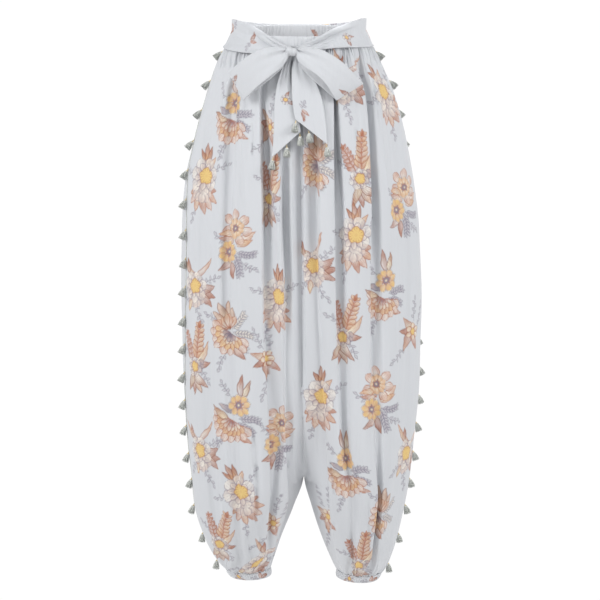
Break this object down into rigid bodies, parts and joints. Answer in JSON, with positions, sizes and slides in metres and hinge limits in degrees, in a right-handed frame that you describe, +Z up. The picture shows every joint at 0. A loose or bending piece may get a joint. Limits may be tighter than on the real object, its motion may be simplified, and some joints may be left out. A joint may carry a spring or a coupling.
{
  "type": "harem trousers",
  "caption": "Light printed harem trousers with a dropped crotch, gathered elastic waistband and cuffs, a sash tied in a bow in front, and tassels down both side seams and on the sash ends.",
  "frame": {"origin": "centre of the waist opening, near the top of the elastic waistband", "axes": "+Z up, -Y towards the front of the garment, +X to the right of someone who looks at its front"},
  "size_m": [0.4541, 0.281, 1.0164],
  "materials": {
    "printed_cloth": "thin plain weave with a soft sheen, pale grey blue with a loose print of flowers and leaves in rust, ochre, cream and mauve grey",
    "band_cloth": "the same cloth, gathered over elastic",
    "sash_cloth": "the same cloth, sewn double",
    "tassel_yarn": "soft grey green yarn, bound with a gold coloured thread"
  },
  "bodies": {
    "root": {"front_left": "printed_cloth", "front_right": "printed_cloth", "back_left": "printed_cloth", "back_right": "printed_cloth", "waistband": "band_cloth", "cuff_left": "band_cloth", "cuff_right": "band_cloth", "sash_band": "sash_cloth", "sash_knot": "sash_cloth", "bow_loop_left": "sash_cloth", "bow_loop_right": "sash_cloth", "sash_tail_left": "sash_cloth", "sash_tail_right": "sash_cloth", "trim_left": "tassel_yarn", "trim_right": "tassel_yarn", "sash_tail_left_tassel_1": "tassel_yarn", "sash_tail_left_tassel_2": "tassel_yarn", "sash_tail_left_tassel_3": "tassel_yarn", "sash_tail_right_tassel_1": "tassel_yarn", "sash_tail_right_tassel_2": "tassel_yarn", "sash_tail_right_tassel_3": "tassel_yarn"}
  },
  "joints": []
}
